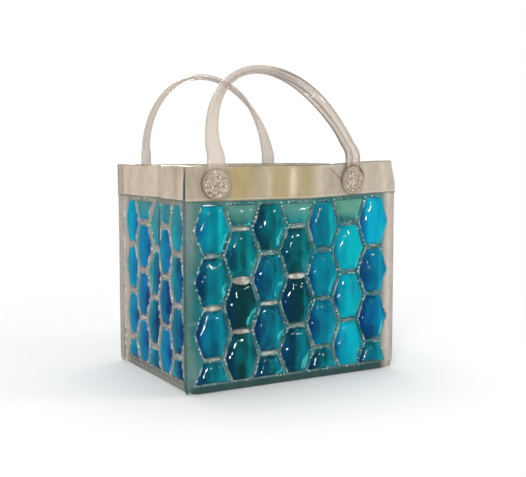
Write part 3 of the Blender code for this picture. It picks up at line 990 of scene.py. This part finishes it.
def markLand(piece, wall):
    # land: welded film, seam: its green tint, pale: the lens between two cells; foot: a painted highlight
    # line where a pocket rises; low: the dark strip along the bottom, the dark lines and painted shade by the
    # left gusset's near corner. farSide is less than 0 by the near corner
    points = readPoints(piece.data)
    across, upwards, height = points.T
    half, wide = walls[wall]["half"], wall in wideWalls
    margin = half - cell["edgeStrip"]
    onFilm = np.abs(across) < half - weldMarks["flange"]
    land = 1 - past(height, cell["filmLift"], (0, weldMarks["haze"]))
    land = np.maximum(land, np.abs(across) > half - weldMarks["flange"])
    farSide = {"front": across, "left": -across}.get(wall, np.abs(across))
    seam = 1 - past(farSide, margin, weldMarks["seamEnd"])
    if not wide:
        gussetSeam = weldMarks["gussetSeam"]
        seam = seam * (gussetSeam + (1 - gussetSeam) * past(-farSide, margin, weldMarks["gussetNear"]))
    paler = past(-farSide, margin, weldMarks["nearStart"]) * smoothStep(upwards, *weldMarks["nearRise"])
    plain = past(np.abs(across), half, weldMarks["plainEdge"])
    plain = plain * np.where(farSide < 0, weldMarks["nearPlain"], 1.0)
    seam = seam * (1 - weldMarks["nearPale"] * paler) * (1 - plain)

    column, row, middle, middleUp, tall = cellAt(wall, points)[:, :5].T
    offset = np.abs(across - middle) / (columnPitch(wall) * cell["flatShare"])
    between = np.clip((row + (upwards > middleUp)).astype(int) - 1, 0, 2)
    reach = np.array(lenses[wall])[column.astype(int), between]
    pale = past(np.abs(upwards - middleUp) / tall, 1 - reach * (1 - weldMarks["lensFlat"] * offset ** 2),
                weldMarks["lensEdge"])
    pale *= (1 - smoothStep(offset, *weldMarks["lensSides"])) * smoothStep(reach, 0.0, 0.06)
    pale *= (upwards > lowLine + weldMarks["lensClear"]) * (upwards < highLine - weldMarks["lensClear"])
    writeAttribute(piece.data, "land", np.stack((land, seam, pale), axis=1))

    # a painted highlight line along the foot of each pocket
    rise = np.abs(height - cell["filmLift"] - weldMarks["footLevel"])
    foot = (1 - smoothStep(rise, *weldMarks["footWidth"])) * weldMarks["foot"] * onFilm
    foot = foot * (1 - weldMarks["footUnderHem"] * past(upwards, highLine, (-0.004, -0.002)))
    writeAttribute(piece.data, "foot", foot)

    strip = 1 - smoothStep(upwards, *weldMarks["stripTop"])
    strip = strip * (1 - weldMarks["stripFades"] * past(-across, margin, (0, 0.003)))
    strip = strip * (1 - weldMarks["stripFades"] * past(across, margin, (-0.010, 0)))
    lines = sum(hump(upwards, level, width) for level, width in weldMarks["lines"])
    shade = weldMarks["panelStrip"] if wide else weldMarks["gussetStrip"]
    low = shade * strip + (0.9 - shade) * lines * 0.8
    if wide:
        low = low + sum(strength * hump(half - np.abs(across), place, width)
                        for place, width, strength in weldMarks["sideLines"])
    # painted shade on the left gusset by its near corner
    if wall == "left":
        low = low + weldMarks["cornerShade"] * past(-farSide, margin, weldMarks["cornerStart"])
    writeAttribute(piece.data, "low", np.clip(low, 0, 1))


def makePocketFilm(sheet, wall, material):
    subdivide(sheet, 2)
    markLand(sheet, wall)
    thicken(sheet, cell["film"])
    standUp(sheet, wall)
    finishPiece(sheet, material, "clear_film", wall + "_outer_film")
    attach(sheet, "bag")


def makeWall(wall, film, gel, beadFilm):
    sheet = honeycomb(wall)
    addMargins(sheet, wall)
    outlines = raisePockets(sheet, wall)
    makeGelColumns(sheet, wall, gel)
    makePocketFilm(sheet, wall, film)
    makeWeldBeads(outlines, wall, beadFilm)
    print(wall, "wall is made")


liner = {"thickness": 0.0004, "depth": -0.0010, "step": 0.006, "sideGap": 0.0003}


def makeLiner(wall, material):
    # The flat inner film, behind the gel
    half = walls[wall]["half"]
    clearSelection()
    bpy.ops.mesh.primitive_grid_add(x_subdivisions=int(2 * half / liner["step"]),
                                    y_subdivisions=int(filmTop / liner["step"]), size=2,
                                    location=(0, filmTop / 2, liner["depth"]))
    sheet = newest(wall + "_liner")
    sheet.scale = (half - liner["sideGap"], filmTop / 2, 1)
    applyPlace(sheet)
    thicken(sheet, liner["thickness"])
    standUp(sheet, wall)
    finishPiece(sheet, material, "clear_film", wall + "_inner_film")
    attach(sheet, "bag")


hem = {"thickness": 0.0006, "step": 0.0015, "rows": 8, "innerRows": 4, "foldRound": 0.0006,
       "weldLevel": 0.0022, "weldWidth": 0.0012, "weldRise": 0.00035}
hemBands = {
    # along each wall, where light comes through, where it is warm and where shaded: place, width, strength
    "front": {"band": ((-0.0265, 0.0026, 0.50), (-0.004, 0.0034, 1.00), (0.0225, 0.0030, 0.35),
                       (0.069, 0.004, 0.25), (0.090, 0.0035, 0.45)),
              "warmth": ((-0.052, 0.020, 0.90), (-0.016, 0.014, 0.75), (0.009, 0.009, 0.90),
                         (-0.090, 0.020, 0.25)),
              "shade": ((-0.037, 0.0080, 0.28), (-0.098, 0.006, 0.28), (0.008, 0.006, 0.20),
                        (0.033, 0.008, 0.20))},
    "back": {"band": ((-0.060, 0.0060, 0.5), (-0.015, 0.0040, 0.8), (0.030, 0.0060, 0.5)),
             "warmth": ((0.050, 0.020, 0.80), (0.005, 0.018, 0.75), (-0.035, 0.012, 0.60)),
             "shade": ((0.040, 0.0080, 0.25), (-0.085, 0.008, 0.20))},
    "left": {"band": ((-0.040, 0.0150, 0.15), (0.020, 0.0080, 0.15)), "warmth": ((0.060, 0.050, 0.25),),
             "shade": ((0.0, 0.0030, 0.15),)},
    "right": {"band": ((-0.030, 0.0060, 0.5), (0.035, 0.0120, 0.5)), "warmth": ((0.0, 0.030, 0.30),),
              "shade": ((0.0, 0.0030, 0.15),)},
}


def onFold(edge):
    return all(vert.co.y > rimHeight - hair for vert in edge.verts)


def makeHem(wall, material):
    # Film folded over the rim, welded along its lower edge
    name = wall + "_hem"
    low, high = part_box(name)
    across, depth, face = (0, 1, frontFace) if wall in wideWalls else (1, 0, gussetFace)
    outer = max(abs(low[depth]), abs(high[depth]))
    inner = min(abs(low[depth]), abs(high[depth]))
    half = high[across]
    clearSelection()
    bpy.ops.mesh.primitive_grid_add(x_subdivisions=int(2 * half / hem["step"]), y_subdivisions=hem["rows"],
                                    size=2)
    piece = newest(wall + "_hem_fold")
    piece.scale = (half, (rimHeight - hemLow) / 2, 1)
    piece.location = (0, (rimHeight + hemLow) / 2, outer - face)
    applyPlace(piece)
    startEditing(piece)
    bpy.ops.mesh.select_all(action="DESELECT")
    bm = bmesh.from_edit_mesh(piece.data)
    for edge in bm.edges:
        edge.select = onFold(edge)
    bmesh.update_edit_mesh(piece.data)
    drop = (hemLow - rimHeight) / hem["innerRows"]
    for move in [(0, 0, inner - outer)] + [(0, drop, 0)] * hem["innerRows"]:
        bpy.ops.mesh.extrude_edges_move(TRANSFORM_OT_translate={"value": move})
    stopEditing()
    faceHeight = readPoints(piece.data)[:, 2].max()
    bm = bmesh.new()
    bm.from_mesh(piece.data)
    if max(bm.faces, key=lambda item: item.calc_center_median().z).normal.z < 0:
        bmesh.ops.reverse_faces(bm, faces=bm.faces[:])
    folds = [edge for edge in bm.edges
             if not edge.is_boundary and onFold(edge) and edge.calc_face_angle(0) > 1]
    bmesh.ops.bevel(bm, geom=folds, offset=hem["foldRound"], segments=3, affect="EDGES", profile=0.5)
    bm.to_mesh(piece.data)
    bm.free()
    thicken(piece, hem["thickness"])
    points = readPoints(piece.data)
    rise = points[:, 1] - hemLow
    weld = hump(rise, hem["weldLevel"], hem["weldWidth"]) * (points[:, 2] > faceHeight - 0.001)
    points[:, 2] += weld * hem["weldRise"]
    writePoints(piece.data, points)
    writeAttribute(piece.data, "rise", rise * 1000)      # in millimetres
    for mark, bands in hemBands[wall].items():
        value = sum(strength * hump(points[:, 0], place, width) for place, width, strength in bands)
        if mark == "band":
            value = value * np.exp(-((rise / (rimHeight - hemLow) - 0.5) / 0.46) ** 6)     # fades up and down
        writeAttribute(piece.data, mark, value)
    standUp(piece, wall)
    finishPiece(piece, material, "milky_film", name)
    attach(piece, "bag")


base = {"thickness": 0.0006, "step": 0.008}


def makeBase(material):
    low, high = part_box("base_panel")
    clearSelection()
    bpy.ops.mesh.primitive_grid_add(x_subdivisions=int((high.x - low.x) / base["step"]),
                                    y_subdivisions=int((high.y - low.y) / base["step"]), size=2)
    tray = newest("base_sheet")
    tray.scale = (high.x, high.y, 1)
    applyPlace(tray)
    startEditing(tray)
    bpy.ops.mesh.region_to_loop()
    bpy.ops.mesh.extrude_edges_move(TRANSFORM_OT_translate={"value": (0, 0, high.z)})
    stopEditing(inside=True)
    thicken(tray, base["thickness"], 1)
    points = readPoints(tray.data)
    points[:, 2] -= points[:, 2].min()
    writePoints(tray.data, points)
    finishPiece(tray, material, "clear_film", "base_panel")
    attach(tray, "bag")
    print("base is made")


# Handles: a clear strap, its feet flared into the stippled discs
handle = {
    "width": 0.0117, "footWidth": 0.0152, "thickness": 0.0042, "footSlim": 0.62,
    "waist": (0.30, 0.55),        # how much thinner its middle is, and over what part of the width
    "steps": 150, "around": 32, "turnPart": (0.35, 0.75), "flareEnd": 0.030, "neckWidth": 0.009,
    "hinge": (-0.004, 0.016), "blend": (-0.005, 0.013),      # where it bends, from the hinge line
    "slumpReach": 0.05,                                      # how far above the rim it follows the hem
    # sideLine and faceLine: where the painted shade lines run across the strap
    "edgeTint": (0.78, 1.0), "innerTint": (0.62, 0.10), "sideLine": (0.80, 0.93), "faceLine": (0.24, 0.08),
    "lineStart": (0.50, 0.62),
}
handles = {
    # turn, twist, neck and ends: at the left and at the right, as seen from the front
    # crease: how strong the painted shade lines are
    "front": {"joint": 0, "lean": 30, "rise": 0.0895, "turn": (100, 100), "twist": ((0.0, 0.50), (0.0, 0.50)),
              "neck": (0.0, 0.0), "crease": 1.0, "side": -1, "ends": ("left", "right")},
    "back": {"joint": 1, "lean": 10, "rise": 0.081, "turn": (-90, -75), "twist": ((-0.02, 0.05), (0.0, 0.32)),
             "neck": (0.40, 0.0), "crease": 0.0, "side": 1, "ends": ("right", "left")},
}


def softHinge(points):
    # The strap follows the hem's slump at its feet and is free of it higher up
    held = points.copy()
    held[:, 2] = np.minimum(held[:, 2], rimHeight)
    share = 1 - past(points[:, 2], rimHeight, (0, handle["slumpReach"]))
    return points + (slumped(held) - held) * share[:, None]


def bandSection(angle):
    # Flat faces and round edges: a across and b through the band, both -1..1
    endShare = handle["thickness"] / handle["width"]
    folded = math.degrees(math.asin(math.sin(angle)))          # -90..90, measured from the nearer edge
    flat = 1 if math.cos(angle) >= 0 else -1
    if abs(folded) < 60:
        turn = math.radians(folded * 1.5)
        return flat * (1 - endShare + endShare * math.cos(turn)), math.sin(turn)
    return flat * (1 - endShare) * (90 - abs(folded)) / 30, math.copysign(1, folded)


def strapPath(form, span, share):
    # Middle and direction of the strap, in the plane of its arch
    angle = math.pi * share
    middle = Vector((-span / 2 * math.cos(angle), 0, form["rise"] * math.sin(angle)))
    along = Vector((span / 2 * math.sin(angle), 0, form["rise"] * math.cos(angle))).normalized()
    return middle, along


def ease(value, low, high):
    # smoothStep for one number
    return float(smoothStep(np.array(value), low, high))


def strapPoint(form, span, drop, arch, run, a, b):
    # Where a point of the section is, a across and b through the strap, and how far along the arch: 0..1
    share = (run - drop) / arch
    atEnd = 0 if share < 0.5 else 1
    turned = ease(min(share, 1 - share), *form["twist"][atEnd])
    turn = form["turn"][0] + (form["turn"][1] - form["turn"][0]) * ease(share, *handle["turnPart"])
    turn = math.radians(turn) * turned
    middle, along = strapPath(form, span, min(max(share, 0), 1))
    if share < 0 or share > 1:
        middle += along * ((run - drop) if share < 0 else (run - drop - arch))
    wide = Vector((along.z, 0, -along.x)) * math.cos(turn) + Vector((0, 1, 0)) * math.sin(turn)
    near = min(run, 2 * drop + arch - run)
    width = handle["footWidth"]
    width += (handle["width"] - width) * ease(near, drop * 0.6, drop + handle["flareEnd"])
    width *= 1 - form["neck"][atEnd] * math.exp(-((near - drop) / handle["neckWidth"]) ** 2)
    slim = handle["footSlim"] + (1 - handle["footSlim"]) * ease(near, drop * 0.4, drop + 0.001)
    bead = 1 - handle["waist"][0] * math.exp(-(a / handle["waist"][1]) ** 4)
    co = middle + wide * (a * width / 2) + along.cross(wide) * (b * handle["thickness"] / 2 * bead * slim)
    # the arch leans from the hinge line, bending softly there
    lean = math.radians(form["lean"]) * ease(co.z, *handle["hinge"])
    leaned = Vector((co.x, co.y * math.cos(lean) + max(co.z, 0) * math.sin(lean),
                     min(co.z, 0) + max(co.z, 0) * math.cos(lean) - co.y * math.sin(lean)))
    return leaned, share


def makeHandle(name, material, stippled):
    form = handles[name]
    joint = frame["joints"][form["joint"]]["pos_m"]
    hinge = Vector((joint[0], joint[1], hingeHeight))
    discs = [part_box(name + "_" + end + "_handle_disc") for end in ("left", "right")]
    centres = sorted([(low + high) / 2 for low, high in discs], key=lambda point: point.x)
    radius = (discs[0][1].x - discs[0][0].x) / 2
    span = centres[1].x - centres[0].x
    discHeight = rimHeight - (rimHeight - hemLow) / 2
    drop = hingeHeight - discHeight
    arch = math.pi / 2 * (span / 2 + form["rise"])
    clearSelection()
    bpy.ops.mesh.primitive_cylinder_add(vertices=handle["around"], radius=1, depth=2, end_fill_type="NGON")
    strap = newest(name + "_strap")
    startEditing(strap)
    for height in np.linspace(-1, 1, handle["steps"] + 1)[1:-1]:
        bpy.ops.mesh.select_all(action="SELECT")
        bpy.ops.mesh.bisect(plane_co=(0, 0, height), plane_no=(0, 0, 1))
    bpy.ops.object.mode_set(mode="OBJECT")
    points = readPoints(strap.data)
    placed, edges, lines = np.empty_like(points), np.empty(len(points)), np.empty(len(points))
    for i, (a, b, c) in enumerate(points):
        a, b = bandSection(math.atan2(b, a))
        point, share = strapPoint(form, span, drop, arch, (c + 1) / 2 * (arch + 2 * drop), a, b)
        placed[i] = point + hinge
        edges[i] = max(ease(abs(a), *handle["edgeTint"]), 0.5 * hump(abs(a), *handle["innerTint"]))
        # painted shade lines along the edges and across the face, on the front strap only
        crease = max(ease(abs(a), *handle["sideLine"]), hump(a, *handle["faceLine"]))
        lines[i] = form["crease"] * crease * ease(share, *handle["lineStart"])
    writePoints(strap.data, softHinge(placed))
    writeAttribute(strap.data, "edge", edges)
    writeAttribute(strap.data, "line", lines)
    startEditing(strap)
    stopEditing()
    finishPiece(strap, material, "clear_strap", name + "_handle_strap")
    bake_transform(strap)
    for side, centre in zip(form["ends"], centres):
        makeDisc(name, side, centre, radius, discHeight, stippled)
    print(name, "handle is made")


disc = {"thickness": 0.0026, "rim": 0.0014, "recess": 0.0007, "grains": 190, "grain": 0.00085,
        "bevel": 0.0004, "bevelRise": 0.0003, "slope": 0.0006, "lift": 0.0002, "dark": (-0.0009, -0.0001)}


def makeDisc(handleName, end, centre, radius, height, material):
    # A round pad with a raised rim, its face full of small grains
    outwards = handles[handleName]["side"]
    name = handleName + "_" + end + "_disc"
    clearSelection()
    bpy.ops.mesh.primitive_circle_add(vertices=48, radius=radius, fill_type="NGON")
    pad = newest(name)
    startEditing(pad)
    bpy.ops.mesh.extrude_region_move(TRANSFORM_OT_translate={"value": (0, 0, disc["thickness"])})
    for inwards, upwards in ((disc["bevel"], disc["bevelRise"]), (disc["rim"] - 0.0008, 0),
                             (disc["slope"], -disc["recess"]), (0.003, 0)):
        bpy.ops.mesh.inset(thickness=inwards, depth=upwards)
    stopEditing()
    rng = np.random.default_rng(int(radius * 1e5) + len(name))
    clearSelection()
    bpy.ops.mesh.primitive_ico_sphere_add(subdivisions=1, radius=disc["grain"])
    blank = newest("grainBlank")
    grainPoints = len(blank.data.vertices)
    places = []
    for i in range(disc["grains"]):
        away = (radius - disc["rim"] - disc["grain"]) * math.sqrt((i + 0.5) / disc["grains"])
        turn = i * math.pi * (3 - math.sqrt(5)) + rng.uniform(-0.2, 0.2)
        size = rng.uniform(0.7, 1.25)
        places.append(Matrix.Translation((away * math.cos(turn), away * math.sin(turn),
                                          disc["thickness"] + disc["bevelRise"] - disc["recess"]))
                      @ Matrix.Rotation(rng.uniform(0, 3), 4, "Z")
                      @ Matrix.Diagonal((size, size * rng.uniform(0.7, 1.2), rng.uniform(0.5, 0.9), 1)))
    grains = scatter("grains", blank, places)
    writeAttribute(grains.data, "grain", np.repeat(rng.uniform(0.06, 1, len(places)), grainPoints))
    makeActive(pad, grains)
    bpy.ops.object.join()
    depth = abs(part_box(handleName + "_hem")[0 if outwards < 0 else 1].y) + disc["lift"]
    place = Matrix.Translation((centre.x, outwards * depth, height))
    pad.data.transform(place @ Matrix.Rotation(math.radians(-90 * outwards), 4, "X"))
    letSlump(pad)
    points = readPoints(pad.data)
    away = np.hypot(points[:, 0] - centre.x, points[:, 2] - height)
    writeAttribute(pad.data, "edge", past(away, radius, disc["dark"]))
    finishPiece(pad, material, "clear_strap", handleName + "_" + end + "_handle_disc")
    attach(pad, "bag")


makeStage()
film = makeFilm("pocketFilm")
linerFilm = makeLinerFilm("linerFilm")
beadFilm = makeBeadFilm("crimpedFilm")
gel = makeGel("coolingGel")
# the gussets' hem is the lighter copy, as painted light
panelHem = makeMilky("milkyPanelHem", hemFinish["panel"], creaseShaded=True)
gussetHem = makeMilky("milkyGussetHem", hemFinish["gusset"])
strapPlastic = makeStrapPlastic("strapPlastic")
discPlastic = makeDiscPlastic("discPlastic")
for wall in walls:
    makeWall(wall, film, gel, beadFilm)
    makeLiner(wall, linerFilm)
    makeHem(wall, panelHem if wall in wideWalls else gussetHem)
makeBase(linerFilm)
for name in handles:
    makeHandle(name, strapPlastic, discPlastic)
